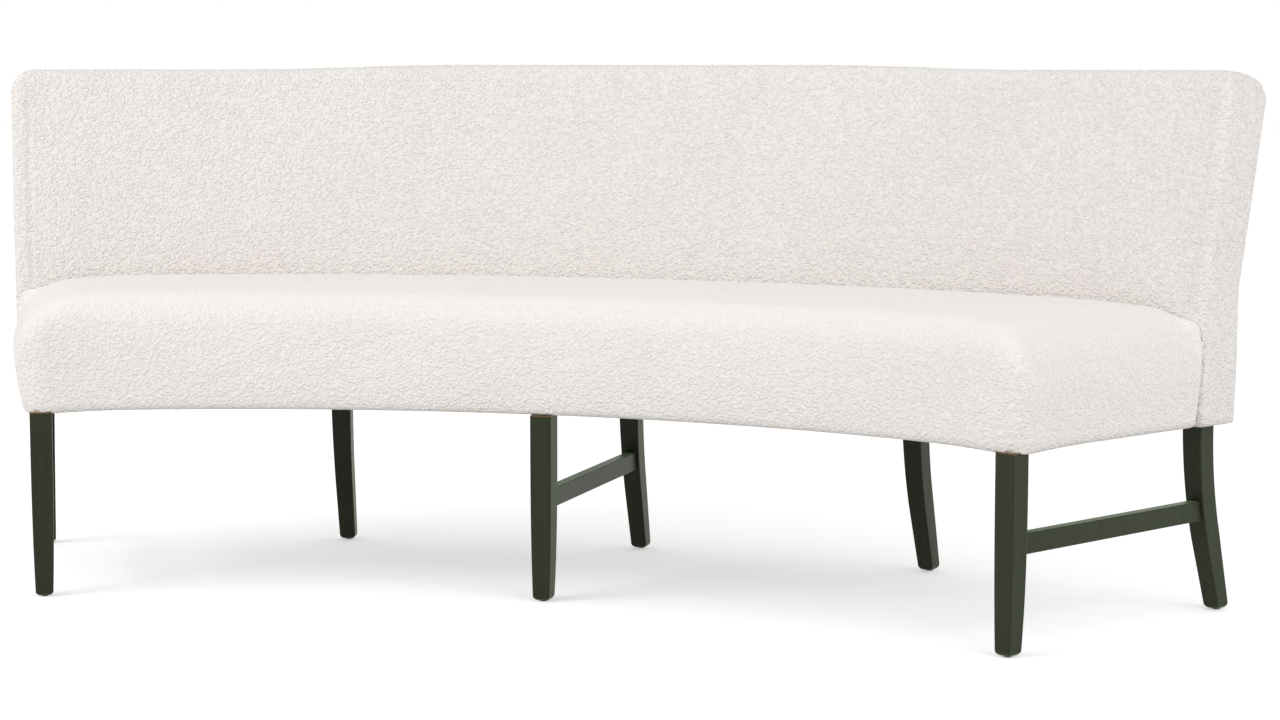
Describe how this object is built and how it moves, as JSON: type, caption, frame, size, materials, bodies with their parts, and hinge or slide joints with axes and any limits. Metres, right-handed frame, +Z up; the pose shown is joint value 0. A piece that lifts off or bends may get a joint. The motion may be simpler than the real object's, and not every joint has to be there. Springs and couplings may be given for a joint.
{
  "type": "curved upholstered banquette bench",
  "caption": "Long arc-shaped bench with a thick padded seat and a padded leaning back in looped cloth, on tapering dark painted wooden legs with stretchers.",
  "frame": {"origin": "centre of the bench's footprint box, on the floor", "axes": "+X along the bench's length, to the right as a person facing it sees it; -Y towards its front, the hollow side of the arc where people sit; +Z up"},
  "size_m": [2.245, 0.8179, 0.8769],
  "materials": {
    "cream_looped_cloth": "matte",
    "dark_painted_wood": "satin",
    "frame_wood": "matte",
    "frame_board": "matte",
    "cushion_foam": "matte",
    "felt": "matte",
    "elastic_strap": "matte",
    "lining_cloth": "matte",
    "zinced_steel": "satin",
    "glide_plastic": "matte"
  },
  "bodies": {
    "root": {"front_leg_left": "dark_painted_wood", "stretcher_left": "dark_painted_wood", "front_leg_centre": "dark_painted_wood", "stretcher_centre": "dark_painted_wood", "front_leg_right": "dark_painted_wood", "stretcher_right": "dark_painted_wood", "rear_leg_left": "dark_painted_wood", "back_post_left": "frame_wood", "rear_leg_mid_left": "dark_painted_wood", "back_post_mid_left": "frame_wood", "rear_leg_centre": "dark_painted_wood", "back_post_centre": "frame_wood", "rear_leg_mid_right": "dark_painted_wood", "back_post_mid_right": "frame_wood", "rear_leg_right": "dark_painted_wood", "back_post_right": "frame_wood", "seat_cross_rail_outer_left": "frame_wood", "seat_cross_rail_inner_left": "frame_wood", "seat_cross_rail_inner_right": "frame_wood", "seat_cross_rail_outer_right": "frame_wood", "seat_end_rail_left": "frame_wood", "back_side_cover_left": "cream_looped_cloth", "seat_end_rail_right": "frame_wood", "back_side_cover_right": "cream_looped_cloth", "seat_front_rail": "frame_wood", "seat_rear_rail": "frame_wood", "seat_glue_blocks": "frame_wood", "back_bearing_rail": "frame_wood", "back_lower_rail": "frame_wood", "back_top_rail": "frame_wood", "seat_rail_dowels": "frame_wood", "back_post_dowels": "frame_wood", "leg_dowels": "frame_wood", "back_inner_board": "frame_board", "back_outer_board": "frame_board", "seat_cover": "cream_looped_cloth", "back_front_cover": "cream_looped_cloth", "back_rear_cover": "cream_looped_cloth", "seat_foam": "cushion_foam", "seat_edge_foam": "cushion_foam", "back_foam": "cushion_foam", "seat_felt": "felt", "seat_straps": "elastic_strap", "dust_cover": "lining_cloth", "leg_bolts": "zinced_steel", "leg_insert_nuts": "zinced_steel", "seat_back_bolts": "zinced_steel", "seat_back_washers": "zinced_steel", "seat_back_insert_nuts": "zinced_steel", "floor_glides": "glide_plastic"}
  },
  "joints": []
}
